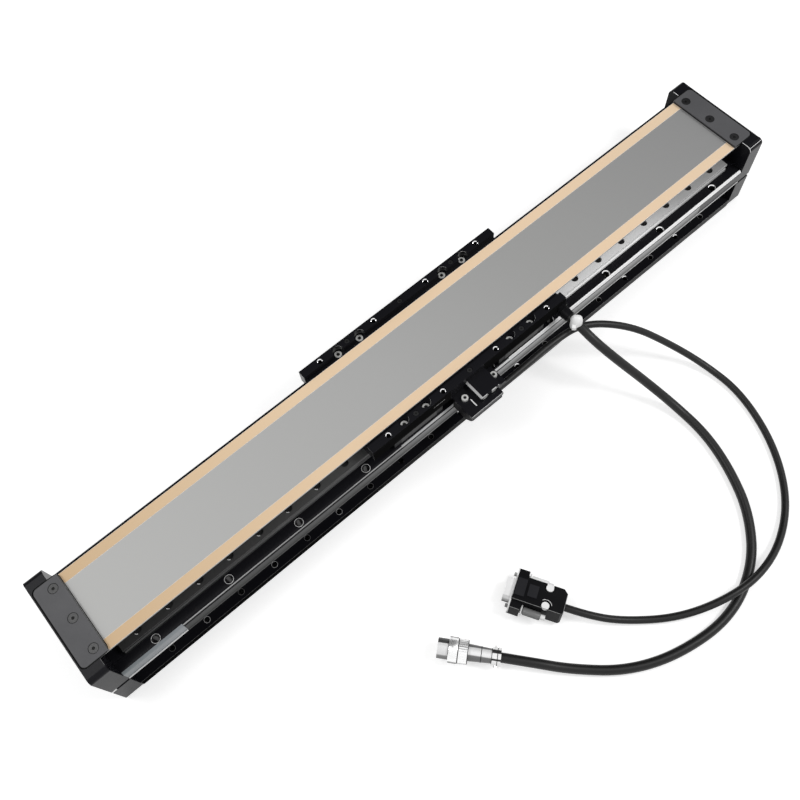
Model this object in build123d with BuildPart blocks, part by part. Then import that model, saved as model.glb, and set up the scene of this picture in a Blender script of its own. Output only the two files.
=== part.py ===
"""Linear motor module: covered slide with an ironless linear motor.

Frame in millimetres: +X along the travel, +Y away from the cords, +Z up.
The origin is the middle of the base's underside.
"""

import os
from math import cos, radians, sin, tan

from build123d import *

os.makedirs("parts", exist_ok=True)

# Base and end blocks
base_len = 600.0
base_half = 42.4
flange_t = 7.5
wall_half = 35.0
deck_low = 32.5
deck_z = 45.5
channel_half = 16.0
hole_y = 37.4
flange_pitch = 30.0
deck_pitch = 60.0
block_t = 14.0
block_top = 71.0
deck_round = 2.8
lip_z = 51.0
lip_t = 1.4

# Cover
cover_half = 31.8
cover_low = 67.5
cover_top = 69.0
cover_len = 624.0
band_w = 8.0
pad_t = 2.0
pad_screw_y = 25.0
pad_screw_x = 300.0
bumper_y = 12.5
bumper_z = 63.0

# Rails and bearing blocks
rail_y = 27.0
rail_w = 12.0
rail_h = 8.0
rail_len = 580.0
rail_pitch = 25.0
rail_top = deck_z + rail_h
bearing_top = deck_z + 13.0

# Carriage, drawn where the photograph shows it
carriage_x = 7.5
carriage_len = 183.0
carriage_half = 41.7
plate_top = 66.5
bar_top = 72.0
bar_in = 35.2
bearing_pitch = 100.0
screw_grid = 20.0
bracket_xs = (4.5, 12.8)
head_screws = ((-6.4, -48.8), (21.1, -48.8))
pocket_z = 62.5
top_hole_pitch = 50.0
top_hole_y = 38.2

# Motor
yoke_in = 9.5
yoke_t = 5.8
magnet_t = 3.0
magnet_count = 24
coil_half = 4.8

# Cords
power_d = 7.0
encoder_d = 5.4


def save(builder, name):
    """Write one node's STEP file."""
    builder.part.label = name
    export_step(builder.part, f"parts/{name}.step")


def row(count, pitch, middle=0.0):
    """Evenly spaced places along X about a middle."""
    return [middle + (i - (count - 1) / 2) * pitch for i in range(count)]


def both(xs, y):
    """The same places on both sides of the centre line."""
    return [(x, side * y) for side in (-1, 1) for x in xs]


flange_xs = row(19, flange_pitch)
deck_xs = row(10, deck_pitch)
rail_xs = row(23, rail_pitch)


def make_base():
    """Extruded profile with the motor channel, side recesses and a rear lip."""
    half = [
        (0, 0),
        (base_half - 1.0, 0),
        (base_half, 1.0),
        (base_half, flange_t),
        (wall_half, flange_t),
        (wall_half, deck_low),
        (base_half, deck_low),
        (base_half, deck_z),
        (channel_half, deck_z),
        (channel_half, flange_t),
        (0, flange_t),
    ]
    with BuildPart() as base:
        with BuildSketch(Plane.YZ):
            with BuildLine():
                Polyline(*half, close=True)
            make_face()
            mirror(about=Plane.YZ)
        extrude(amount=base_len / 2, both=True)
        tops = base.edges().filter_by(Axis.X).group_by(Axis.Z)[-1].sort_by(Axis.Y)
        fillet(tops[0], radius=deck_round)
        with BuildSketch(Plane.YZ):
            with Locations((base_half - lip_t / 2, (deck_low + lip_z) / 2)):
                Rectangle(lip_t, lip_z - deck_low)
        extrude(amount=base_len / 2, both=True)
        rims = base.edges().filter_by(Axis.X).group_by(Axis.Z)[-1]
        fillet(rims, radius=0.5)
        with BuildSketch(Plane.XY):
            with Locations(*both(flange_xs, hole_y)):
                Circle(2.25)
        extrude(amount=flange_t, mode=Mode.SUBTRACT)
        with BuildSketch(Plane.XY.offset(deck_low)):
            with Locations(*both(deck_xs, hole_y)):
                Circle(2.5)
        extrude(amount=deck_z - deck_low, mode=Mode.SUBTRACT)
        with BuildSketch(Plane.XY.offset(deck_z - 0.6)):
            with Locations(*both(deck_xs, hole_y)):
                Circle(3.1)
        extrude(amount=0.6, mode=Mode.SUBTRACT)
        with BuildSketch(Plane.XY.offset(deck_z - 6.5)):
            with Locations(*both(rail_xs, rail_y)):
                Circle(1.55)
        extrude(amount=6.5, mode=Mode.SUBTRACT)
        with BuildSketch(Plane.XY):
            with Locations(*[(x, 0) for x in row(6, 110)]):
                Circle(4.2)
        extrude(amount=4.2, mode=Mode.SUBTRACT)
        with BuildSketch(Plane.XY):
            with Locations(*[(x, 0) for x in row(6, 110)]):
                Circle(2.2)
        extrude(amount=flange_t, mode=Mode.SUBTRACT)
        for side in (-1, 1):
            with BuildSketch(Plane.YZ.offset(side * base_len / 2)):
                with Locations((-29, 39), (29, 39), (-25.5, 16), (25.5, 16)):
                    Circle(2.05)
            extrude(amount=-side * 12, mode=Mode.SUBTRACT)
    save(base, "base_profile")


def make_end_block(side, name):
    """End block with side slots, a cover seat and an inner ledge."""
    inner = side * base_len / 2
    with BuildPart() as block:
        with BuildSketch(Plane.YZ.offset(inner)):
            with BuildLine():
                Polyline(
                    (-base_half + 2, 0),
                    (base_half - 2, 0),
                    (base_half, 2),
                    (base_half, block_top),
                    (-base_half, block_top),
                    (-base_half, 2),
                    close=True,
                )
            make_face()
        extrude(amount=side * block_t)
        tops = block.edges().filter_by(Axis.X).group_by(Axis.Z)[-1]
        fillet(tops, radius=4.0)
        with BuildSketch(Plane.XY.offset(cover_low)):
            with Locations((side * 292.7, 0)):
                RectangleRounded(40.6, 66.0, 4.0)
        extrude(amount=block_top - cover_low, mode=Mode.SUBTRACT)
        with BuildSketch(Plane.YZ.offset(inner)):
            with Locations((-base_half, 30), (base_half, 30)):
                Rectangle(10, 3)
        extrude(amount=side * block_t, mode=Mode.SUBTRACT)
        with BuildSketch(Plane.YZ.offset(inner)):
            with Locations((0, bumper_z)):
                Rectangle(58, 9)
            with Locations((-bumper_y, bumper_z), (bumper_y, bumper_z)):
                Circle(3.5, mode=Mode.SUBTRACT)
        extrude(amount=-side * 6.5)
        with BuildSketch(Plane.YZ.offset(inner)):
            with Locations((-28.5, deck_z + 1.25), (28.5, deck_z + 1.25)):
                Rectangle(9, 2.5)
        extrude(amount=-side * 7.0)
        with BuildSketch(Plane.YZ.offset(inner + side * block_t)):
            with Locations((-29, 39), (29, 39), (-25.5, 16), (25.5, 16)):
                Circle(4.3)
        extrude(amount=-side * 4.5, mode=Mode.SUBTRACT)
        with BuildSketch(Plane.YZ.offset(inner)):
            with Locations((-29, 39), (29, 39), (-25.5, 16), (25.5, 16)):
                Circle(2.2)
        extrude(amount=side * block_t, mode=Mode.SUBTRACT)
        with BuildSketch(Plane.XY.offset(cover_low)):
            with Locations(*[(side * pad_screw_x, y) for y in (-pad_screw_y, 0, pad_screw_y)]):
                Circle(1.55)
        extrude(amount=-7.5, mode=Mode.SUBTRACT)
    save(block, name)


def make_block_screws():
    """Eight cap screws that hold the end blocks to the profile."""
    places = ((-29, 39), (29, 39), (-25.5, 16), (25.5, 16))
    with BuildPart() as screws:
        for side in (-1, 1):
            outer = side * (base_len / 2 + block_t - 0.4)
            with BuildSketch(Plane.YZ.offset(outer)):
                with Locations(*places):
                    Circle(4.0)
                    RegularPolygon(radius=2.3, side_count=6, mode=Mode.SUBTRACT)
            extrude(amount=-side * 2.6)
            with BuildSketch(Plane.YZ.offset(outer - side * 2.6)):
                with Locations(*places):
                    Circle(4.0)
            extrude(amount=-side * 1.5)
            with BuildSketch(Plane.YZ.offset(outer - side * 4.1)):
                with Locations(*places):
                    Circle(2.0)
            extrude(amount=-side * 18)
    save(screws, "end_screws")


def make_cover():
    """Thin cover with shallow rebates for the two edge bands."""
    with BuildPart() as cover:
        with BuildSketch(Plane.XY.offset(cover_low)):
            RectangleRounded(cover_len, 2 * cover_half, 3.0)
        extrude(amount=cover_top - cover_low)
        with BuildSketch(Plane.XY.offset(cover_top - 0.4)):
            with Locations((0, cover_half - band_w / 2), (0, band_w / 2 - cover_half)):
                Rectangle(586.4, band_w)
        extrude(amount=0.4, mode=Mode.SUBTRACT)
        with BuildSketch(Plane.XY.offset(cover_low)):
            with Locations(
                *[
                    (side * pad_screw_x, y)
                    for side in (-1, 1)
                    for y in (-pad_screw_y, 0, pad_screw_y)
                ]
            ):
                Circle(1.7)
        extrude(amount=cover_top - cover_low, mode=Mode.SUBTRACT)
    save(cover, "top_cover")


def make_band(side, name):
    """Cream band let into one long edge of the cover."""
    with BuildPart() as band:
        with BuildSketch(Plane.XY.offset(cover_top - 0.4)):
            with Locations((0, side * (cover_half - band_w / 2))):
                Rectangle(586.2, band_w - 0.1)
        extrude(amount=0.4)
    save(band, name)


def make_pad(side, name):
    """Clamp pad over one end of the cover, with three countersinks."""
    with BuildPart() as pad:
        with BuildSketch(Plane.XY.offset(cover_top)):
            with Locations((side * 302.75, 0)):
                Rectangle(18.9, 64.2)
        extrude(amount=pad_t)
        corners = pad.edges().filter_by(Axis.Z).group_by(Axis.X)[0 if side < 0 else -1]
        fillet(corners, radius=3.5)
        with Locations(
            *[(side * pad_screw_x, y, cover_top + pad_t) for y in (-pad_screw_y, 0, pad_screw_y)]
        ):
            CounterSinkHole(radius=1.7, counter_sink_radius=3.6, counter_sink_angle=90)
    save(pad, name)


def make_pad_screws():
    """Six countersunk screws that clamp the pads and the cover."""
    places = [
        (side * pad_screw_x, y, cover_top + pad_t)
        for side in (-1, 1)
        for y in (-pad_screw_y, 0, pad_screw_y)
    ]
    with BuildPart() as screws:
        with BuildSketch(Plane.XZ):
            with BuildLine():
                Polyline(
                    (0, -9.5),
                    (1.5, -9.5),
                    (1.5, -2.05),
                    (3.45, -0.1),
                    (1.1, -0.1),
                    (1.1, -1.5),
                    (0, -1.5),
                    close=True,
                )
            make_face()
        revolve(axis=Axis.Z)
    one = screws.part
    with BuildPart() as group:
        with Locations(*places):
            add(one)
    save(group, "pad_screws")


def make_rail(side, name):
    """Miniature guide rail with ball grooves and counterbored holes."""
    w = rail_w / 2
    z0 = deck_z
    outline = [
        (-w, z0),
        (w, z0),
        (w, z0 + 2.4),
        (w - 1.1, z0 + 3.2),
        (w - 1.1, z0 + 5.0),
        (w, z0 + 5.8),
        (w, rail_top - 0.4),
        (w - 0.4, rail_top),
        (-w + 0.4, rail_top),
        (-w, rail_top - 0.4),
        (-w, z0 + 5.8),
        (-w + 1.1, z0 + 5.0),
        (-w + 1.1, z0 + 3.2),
        (-w, z0 + 2.4),
    ]
    with BuildPart() as rail:
        with BuildSketch(Plane.YZ):
            with BuildLine():
                Polyline(*[(side * rail_y + y, z) for y, z in outline], close=True)
            make_face()
        extrude(amount=rail_len / 2, both=True)
        with BuildSketch(Plane.XY.offset(rail_top - 4.5)):
            with Locations(*[(x, side * rail_y) for x in rail_xs]):
                Circle(3.0)
        extrude(amount=4.5, mode=Mode.SUBTRACT)
        with BuildSketch(Plane.XY.offset(deck_z)):
            with Locations(*[(x, side * rail_y) for x in rail_xs]):
                Circle(1.75)
        extrude(amount=rail_h, mode=Mode.SUBTRACT)
    save(rail, name)


def make_rail_screws():
    """Rail screws, one in each counterbore of both rails."""
    head_z = rail_top - 4.5
    with BuildPart() as screws:
        with BuildSketch(Plane.XY.offset(head_z)):
            with Locations(*both(rail_xs, rail_y)):
                Circle(2.75)
        extrude(amount=3.0)
        with BuildSketch(Plane.XY.offset(deck_z - 6.0)):
            with Locations(*both(rail_xs, rail_y)):
                Circle(1.5)
        extrude(amount=head_z - deck_z + 6.0)
    save(screws, "rail_screws")


def make_bearing(x, side, name):
    """Steel body of one bearing block, with lips in the rail's grooves."""
    y = side * rail_y
    z0 = deck_z
    slot = rail_w / 2 + 0.3
    outline = [
        (-13.5, z0 + 3.0),
        (-slot, z0 + 3.0),
        (-slot + 0.9, z0 + 3.7),
        (-slot + 0.9, z0 + 4.5),
        (-slot, z0 + 5.2),
        (-slot, rail_top + 0.3),
        (slot, rail_top + 0.3),
        (slot, z0 + 5.2),
        (slot - 0.9, z0 + 4.5),
        (slot - 0.9, z0 + 3.7),
        (slot, z0 + 3.0),
        (13.5, z0 + 3.0),
        (13.5, bearing_top),
        (-13.5, bearing_top),
    ]
    with BuildPart() as body:
        with BuildSketch(Plane.YZ.offset(x - 16.5)):
            with BuildLine():
                Polyline(*[(y + across, z) for across, z in outline], close=True)
            make_face()
        extrude(amount=33.0)
        with BuildSketch(Plane.XY.offset(bearing_top)):
            with Locations((x, y)):
                with GridLocations(screw_grid, screw_grid, 2, 2):
                    Circle(1.55)
        extrude(amount=-3.5, mode=Mode.SUBTRACT)
    save(body, name)


def make_bearing_caps(side, name):
    """Plastic end caps of the two bearing blocks on one rail."""
    y = side * rail_y
    slot = rail_w / 2 + 0.3
    outline = [
        (-13.2, deck_z + 2.6),
        (-slot, deck_z + 2.6),
        (-slot, rail_top + 0.3),
        (slot, rail_top + 0.3),
        (slot, deck_z + 2.6),
        (13.2, deck_z + 2.6),
        (13.2, bearing_top - 0.5),
        (-13.2, bearing_top - 0.5),
    ]
    with BuildPart() as caps:
        for x in row(2, bearing_pitch, carriage_x):
            for end in (-1, 1):
                with BuildSketch(Plane.YZ.offset(x + end * 16.5)):
                    with BuildLine():
                        Polyline(*[(y + across, z) for across, z in outline], close=True)
                    make_face()
                extrude(amount=end * 6.0)
    save(caps, name)


def bearing_screw_places():
    """Centres of the sixteen screws that hold the bearing blocks."""
    places = []
    for x in (carriage_x - bearing_pitch / 2, carriage_x + bearing_pitch / 2):
        for side in (-1, 1):
            for dx in (-screw_grid / 2, screw_grid / 2):
                for dy in (-screw_grid / 2, screw_grid / 2):
                    places.append((x + dx, side * rail_y + dy))
    return places


forcer_xs = row(5, 32, carriage_x)
bar_screw_xs = row(3, 50, carriage_x)


def make_carriage_plate():
    """Plate that runs under the cover and carries everything that slides."""
    with BuildPart() as plate:
        with BuildSketch(Plane.XY.offset(bearing_top)):
            with Locations((carriage_x, 0)):
                Rectangle(carriage_len, 2 * carriage_half)
        extrude(amount=plate_top - bearing_top)
        with BuildSketch(Plane.XY.offset(pocket_z)):
            with Locations(*bearing_screw_places()):
                Circle(3.4)
        extrude(amount=plate_top - pocket_z, mode=Mode.SUBTRACT)
        with BuildSketch(Plane.XY.offset(bearing_top)):
            with Locations(*bearing_screw_places()):
                Circle(1.7)
            with Locations(*[(x, 0) for x in forcer_xs]):
                Circle(2.2)
            with Locations(*both(bar_screw_xs, top_hole_y)):
                Circle(1.3)
        extrude(amount=plate_top - bearing_top, mode=Mode.SUBTRACT)
        with BuildSketch(Plane.XY.offset(pocket_z - 0.5)):
            with Locations(*[(x, 0) for x in forcer_xs]):
                Circle(3.8)
        extrude(amount=plate_top - pocket_z + 0.5, mode=Mode.SUBTRACT)
        with BuildSketch(Plane.XZ.offset(carriage_half)):
            with Locations(*[(x, 63.2) for x in bracket_xs]):
                Circle(1.55)
        extrude(amount=-7.0, mode=Mode.SUBTRACT)
    save(plate, "carriage_plate")


def make_bar(side, name):
    """Raised bar on one side of the carriage, with the tapped top holes."""
    mid = (bar_in + carriage_half) / 2
    xs = row(4, top_hole_pitch, carriage_x)
    notches = [x for x in row(2, bearing_pitch, carriage_x)]
    cuts = [(x + dx, side * 35.9) for x in notches for dx in (-10, 10)]
    with BuildPart() as bar:
        with BuildSketch(Plane.XY.offset(plate_top)):
            with Locations((carriage_x, side * mid)):
                Rectangle(carriage_len, carriage_half - bar_in)
            with Locations(*cuts):
                Circle(4.3, mode=Mode.SUBTRACT)
        extrude(amount=bar_top - plate_top)
        with BuildSketch(Plane.XY.offset(plate_top)):
            with Locations(*[(x, side * top_hole_y) for x in xs]):
                Circle(2.0)
            with Locations(*[(x, side * top_hole_y) for x in bar_screw_xs]):
                Circle(1.3)
        extrude(amount=bar_top - plate_top, mode=Mode.SUBTRACT)
        with BuildSketch(Plane.XY.offset(bar_top - 2.2)):
            with Locations(*[(x, side * top_hole_y) for x in bar_screw_xs]):
                Circle(2.1)
        extrude(amount=2.2, mode=Mode.SUBTRACT)
    save(bar, name)


def make_bar_screws():
    """Six small cap screws that hold the bars to the plate."""
    with BuildPart() as screws:
        with BuildSketch(Plane.XY.offset(bar_top - 2.2)):
            with Locations(*both(bar_screw_xs, top_hole_y)):
                Circle(1.9)
        extrude(amount=1.6)
        with BuildSketch(Plane.XY.offset(bearing_top + 1.5)):
            with Locations(*both(bar_screw_xs, top_hole_y)):
                Circle(1.2)
        extrude(amount=bar_top - 2.2 - bearing_top - 1.5)
    save(screws, "bar_screws")


def make_bearing_screws():
    """Sixteen cap screws that hold the bearing blocks to the plate."""
    with BuildPart() as screws:
        with BuildSketch(Plane.XY.offset(pocket_z)):
            with Locations(*bearing_screw_places()):
                Circle(2.75)
        extrude(amount=3.0)
        with BuildSketch(Plane.XY.offset(bearing_top - 3.0)):
            with Locations(*bearing_screw_places()):
                Circle(1.5)
        extrude(amount=pocket_z - bearing_top + 3.0)
    save(screws, "bearing_screws")


def make_forcer():
    """Coil blade in the magnet gap, its bar and the bar's screws."""
    with BuildPart() as coil:
        with BuildSketch(Plane.XY.offset(16.5)):
            with Locations((carriage_x, 0)):
                Rectangle(150, 2 * coil_half)
        extrude(amount=33.0)
        uprights = coil.edges().filter_by(Axis.Z)
        fillet(uprights, radius=2.0)
    save(coil, "forcer_coil")
    with BuildPart() as bar:
        with BuildSketch(Plane.XY.offset(49.5)):
            with Locations((carriage_x, 0)):
                Rectangle(156, 23)
        extrude(amount=bearing_top - 49.5)
        with BuildSketch(Plane.XY.offset(bearing_top - 7)):
            with Locations(*[(x, 0) for x in forcer_xs]):
                Circle(2.05)
        extrude(amount=7, mode=Mode.SUBTRACT)
    save(bar, "forcer_bar")
    with BuildPart() as screws:
        with BuildSketch(Plane.XY.offset(pocket_z - 0.5)):
            with Locations(*[(x, 0) for x in forcer_xs]):
                Circle(3.5)
        extrude(amount=4.0)
        with BuildSketch(Plane.XY.offset(bearing_top - 6.5)):
            with Locations(*[(x, 0) for x in forcer_xs]):
                Circle(2.0)
        extrude(amount=pocket_z - 0.5 - bearing_top + 6.5)
    save(screws, "forcer_screws")


yoke_screw_xs = row(7, 90)


def make_yoke(side, name):
    """One steel side of the magnet way."""
    mid = side * (yoke_in + yoke_t / 2)
    with BuildPart() as yoke:
        with BuildSketch(Plane.XY.offset(flange_t)):
            with Locations((0, mid)):
                Rectangle(584, yoke_t)
        extrude(amount=36.5)
        with BuildSketch(Plane.XZ.offset(-side * yoke_in)):
            with Locations(*[(x, 11) for x in yoke_screw_xs]):
                Circle(2.15)
        extrude(amount=-side * yoke_t, mode=Mode.SUBTRACT)
    save(yoke, name)


def make_spacer():
    """Bar between the two yokes at the foot of the gap."""
    with BuildPart() as spacer:
        with BuildSketch(Plane.XY.offset(flange_t)):
            Rectangle(584, 2 * yoke_in)
        extrude(amount=7.0)
        with BuildSketch(Plane.XY.offset(flange_t)):
            with Locations(*[(x, 0) for x in row(6, 110)]):
                Circle(2.05)
        extrude(amount=6.0, mode=Mode.SUBTRACT)
        for side in (-1, 1):
            with BuildSketch(Plane.XZ.offset(-side * yoke_in)):
                with Locations(*[(x, 11) for x in yoke_screw_xs]):
                    Circle(2.05)
            extrude(amount=side * 6.0, mode=Mode.SUBTRACT)
    save(spacer, "yoke_spacer")


def make_yoke_screws():
    """Screws through the yokes into the spacer."""
    with BuildPart() as screws:
        for side in (-1, 1):
            with BuildSketch(Plane.XZ.offset(-side * (yoke_in + yoke_t))):
                with Locations(*[(x, 11) for x in yoke_screw_xs]):
                    Circle(2.0)
            extrude(amount=side * (yoke_t + 5.0))
    save(screws, "yoke_screws")


def make_spacer_screws():
    """Cap screws from under the base into the spacer."""
    xs = row(6, 110)
    with BuildPart() as screws:
        with BuildSketch(Plane.XY.offset(0.2)):
            with Locations(*[(x, 0) for x in xs]):
                Circle(3.5)
        extrude(amount=4.0)
        with BuildSketch(Plane.XY.offset(4.2)):
            with Locations(*[(x, 0) for x in xs]):
                Circle(2.0)
        extrude(amount=8.5)
    save(screws, "spacer_screws")


def make_magnets(side, name):
    """Row of flat magnets on the inner face of one yoke."""
    mid = side * (yoke_in - magnet_t / 2)
    with BuildPart() as magnets:
        with BuildSketch(Plane.XY.offset(15.5)):
            with Locations(*[(x, mid) for x in row(magnet_count, 24)]):
                Rectangle(20, magnet_t)
        extrude(amount=27.0)
    save(magnets, name)


def make_tape():
    """Scale tape on the deck's side face."""
    with BuildPart() as tape:
        with BuildSketch(Plane.XZ.offset(base_half)):
            with Locations((0, 37.8)):
                Rectangle(502, 9.6)
        extrude(amount=0.3)
    save(tape, "scale_tape")


def make_bumpers():
    """Four rubber stops that stand in the ledges of the end blocks."""
    with BuildPart() as bumpers:
        for side in (-1, 1):
            with BuildSketch(Plane.YZ.offset(side * base_len / 2)):
                with Locations((-bumper_y, bumper_z), (bumper_y, bumper_z)):
                    Circle(3.2)
            extrude(amount=-side * 7.5)
    save(bumpers, "bumpers")


def make_read_head():
    """Encoder read head with a nose beside the scale tape."""
    with BuildPart() as head:
        with BuildSketch(Plane.XY.offset(47.5)):
            with Locations((2.5, -53.3)):
                Rectangle(30, 19.8)
        extrude(amount=9.5)
        front = head.edges().filter_by(Axis.X).group_by(Axis.Z)[0].sort_by(Axis.Y)
        chamfer(front[0], length=6.0)
        uprights = head.edges().filter_by(Axis.Z).group_by(Axis.Y)[0]
        fillet(uprights, radius=1.6)
        with BuildSketch(Plane.XY.offset(50.5)):
            with Locations((21.1, -48.3)):
                Rectangle(7.6, 9.8)
        extrude(amount=6.5)
        with BuildSketch(Plane.XY.offset(33.5)):
            with Locations((2.5, -46.3)):
                Rectangle(19, 5.8)
        extrude(amount=15)
        with BuildSketch(Plane.XY.offset(51.0)):
            with Locations(*head_screws):
                Circle(1.55)
        extrude(amount=6.0, mode=Mode.SUBTRACT)
    save(head, "read_head")


def make_head_bracket():
    """Bracket that hangs the read head from the carriage."""
    with BuildPart() as bracket:
        with BuildSketch(Plane.XY.offset(57.0)):
            with BuildLine():
                Polyline(
                    (-12.5, -carriage_half),
                    (-12.5, -63.2),
                    (17.5, -63.2),
                    (17.5, -57.4),
                    (24.9, -57.4),
                    (24.9, -carriage_half),
                    close=True,
                )
            make_face()
        extrude(amount=3.0)
        lip = bracket.edges().filter_by(Axis.X).group_by(Axis.Z)[-1].sort_by(Axis.Y)
        chamfer(lip[0], length=0.6)
        with BuildSketch(Plane.XY.offset(60.0)):
            with Locations((9.45, -50.15)):
                Rectangle(17.9, 16.9)
        extrude(amount=6.3)
        across = bracket.edges().filter_by(Axis.Y).group_by(Axis.Z)[-1].sort_by(Axis.X)
        chamfer(across[0], length=1.5)
        along = bracket.edges().filter_by(Axis.X).group_by(Axis.Z)[-1].sort_by(Axis.Y)
        chamfer(along[0], length=0.5)
        with BuildSketch(Plane.XY.offset(57.0)):
            with Locations((-3.4, -54.8)):
                SlotOverall(7.6, 1.8, rotation=90)
        extrude(amount=3.0, mode=Mode.SUBTRACT)
        with BuildSketch(Plane.XY.offset(57.0)):
            with Locations(*head_screws):
                Circle(1.7)
        extrude(amount=3.0, mode=Mode.SUBTRACT)
        with BuildSketch(Plane.XZ.offset(carriage_half)):
            with Locations(*[(x, 63.2) for x in bracket_xs]):
                Circle(1.7)
        extrude(amount=20, mode=Mode.SUBTRACT)
        with BuildSketch(Plane.XZ.offset(55.6)):
            with Locations(*[(x, 63.2) for x in bracket_xs]):
                Circle(2.9)
        extrude(amount=4, mode=Mode.SUBTRACT)
    save(bracket, "head_bracket")


def make_head_screws():
    """Two cap screws that hold the read head under its bracket."""
    with BuildPart() as screws:
        with BuildSketch(Plane.XY.offset(60.0)):
            with Locations(*head_screws):
                Circle(2.5)
        extrude(amount=2.4)
        with BuildSketch(Plane.XY.offset(52.0)):
            with Locations(*head_screws):
                Circle(1.5)
        extrude(amount=8.0)
    save(screws, "head_screws")


def make_bracket_screws():
    """Two cap screws through the bracket into the carriage's side."""
    with BuildPart() as screws:
        with BuildSketch(Plane.XZ.offset(55.6)):
            with Locations(*[(x, 63.2) for x in bracket_xs]):
                Circle(2.7)
        extrude(amount=2.6)
        with BuildSketch(Plane.XZ.offset(carriage_half - 6.0)):
            with Locations(*[(x, 63.2) for x in bracket_xs]):
                Circle(1.5)
        extrude(amount=55.6 - carriage_half + 6.0)
    save(screws, "bracket_screws")


round_at = (-101.9, -191.5)
round_angle = 130.3
square_at = (-46.0, -195.4)
square_angle = 120.0
square_z = 9.9
square_roll = 13.5


def before(place, angle, run, z):
    """Route point a straight run before a plug's rear face."""
    return (
        place[0] - run * cos(radians(angle)),
        place[1] - run * sin(radians(angle)),
        z,
    )


power_route = [
    (95.4, -46.7, 60.0),
    (95.4, -60.5, 60.0),
    (96.8, -76.0, 55.0),
    (104.5, -94.5, 41.5),
    (116.0, -115.5, 23.0),
    (126.0, -141.5, 6.0),
    (126.5, -172.0, 3.8),
    (118.0, -203.0, 3.8),
    (103.0, -233.5, 3.8),
    (76.0, -260.5, 3.8),
    (37.0, -274.5, 3.8),
    (-8.0, -268.5, 3.8),
    (-43.0, -253.0, 3.8),
    (-71.0, -227.5, 4.6),
    before(round_at, round_angle, 21.0, 9.2),
    (*round_at, 9.2),
]
encoder_route = [
    (17.5, -56.0, 52.5),
    (43.0, -56.0, 52.5),
    (75.0, -55.2, 53.0),
    (103.0, -58.4, 52.4),
    (132.0, -81.0, 43.0),
    (154.0, -105.0, 21.0),
    (169.5, -132.0, 4.8),
    (172.5, -166.0, 3.0),
    (159.0, -208.0, 3.0),
    (135.0, -242.0, 3.0),
    (104.0, -262.0, 4.6),
    (70.0, -268.4, 11.0),
    (38.0, -263.4, 10.2),
    (8.0, -250.4, 3.6),
    (-19.5, -229.0, 3.2),
    before(square_at, square_angle, 18.6, square_z),
    (*square_at, square_z),
]


def cord_radii(route):
    """Largest tangent arc at each corner of a route."""
    points = [Vector(*p) for p in route]
    radii = []
    for a, b, c in zip(points, points[1:], points[2:]):
        turn = (b - a).get_angle(c - b)
        run = min((b - a).length, (c - b).length)
        radii.append(0.45 * run / tan(radians(turn) / 2))
    return radii


def make_cord(route, diameter, name):
    """Round cord along its route of straight runs and tangent arcs."""
    radii = cord_radii(route)
    print(name, "radii", [round(r, 1) for r in radii])
    with BuildPart() as cord:
        with BuildLine() as path:
            line = FilletPolyline(*route, radius=radii)
        with BuildSketch(Plane(origin=line @ 0, z_dir=line % 0)):
            Circle(diameter / 2)
        sweep(path=path.line)
    print(name, "length", round(line.length, 1), "volume", round(cord.part.volume))
    save(cord, name)


def make_gland():
    """Cable gland in the carriage's side, and the tie round both cords."""
    with BuildPart() as gland:
        with BuildSketch(Plane.XZ.offset(carriage_half)):
            with Locations((95.4, 62.0)):
                Rectangle(7, 8.8)
        extrude(amount=2.0)
        with BuildSketch(Plane.XZ.offset(carriage_half + 2.0)):
            with Locations((95.4, 60.0)):
                Circle(4.6)
        extrude(amount=3.0)
        with BuildSketch(Plane.XZ.offset(carriage_half + 5.0)):
            with Locations((95.4, 60.0)):
                Circle(4.3)
                Circle(3.6, mode=Mode.SUBTRACT)
        extrude(amount=4.2)
    save(gland, "cord_gland")


tie_plane = Plane(origin=(95.3, -57.2, 56.75), x_dir=(1, 1, 0), z_dir=(1, -1, 0))


def make_tie():
    """Plastic tie that bundles the two cords beside the carriage."""
    with BuildPart() as tie:
        with BuildSketch(tie_plane):
            RectangleRounded(14.6, 16.4, 5.4)
            RectangleRounded(12.8, 14.6, 4.5, mode=Mode.SUBTRACT)
        extrude(amount=0.8, both=True)
    save(tie, "cord_tie")


def at_axis(origin, angle, roll=0.0):
    """Plane whose local X runs along a plug, rolled about that line."""
    c, s = cos(radians(angle)), sin(radians(angle))
    tilt = sin(radians(roll))
    return Plane(origin=origin, x_dir=(c, s, 0), z_dir=(s * tilt, -c * tilt, cos(radians(roll))))


hood = at_axis((*square_at, square_z), square_angle, square_roll).offset(-7.8)
round_plug = at_axis((*round_at, 9.2), round_angle)


def on_hood(z):
    """Plane across the square plug's hood at a height."""
    return hood.offset(z)


def hood_station(along):
    """Plane that faces along the square plug at a station."""
    return Plane(
        origin=hood.from_local_coords((along, 0, 7.8)),
        x_dir=hood.y_dir,
        z_dir=hood.x_dir,
    )


hood_holes = [(12.7, -6.9), (12.7, 6.9)]


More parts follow.
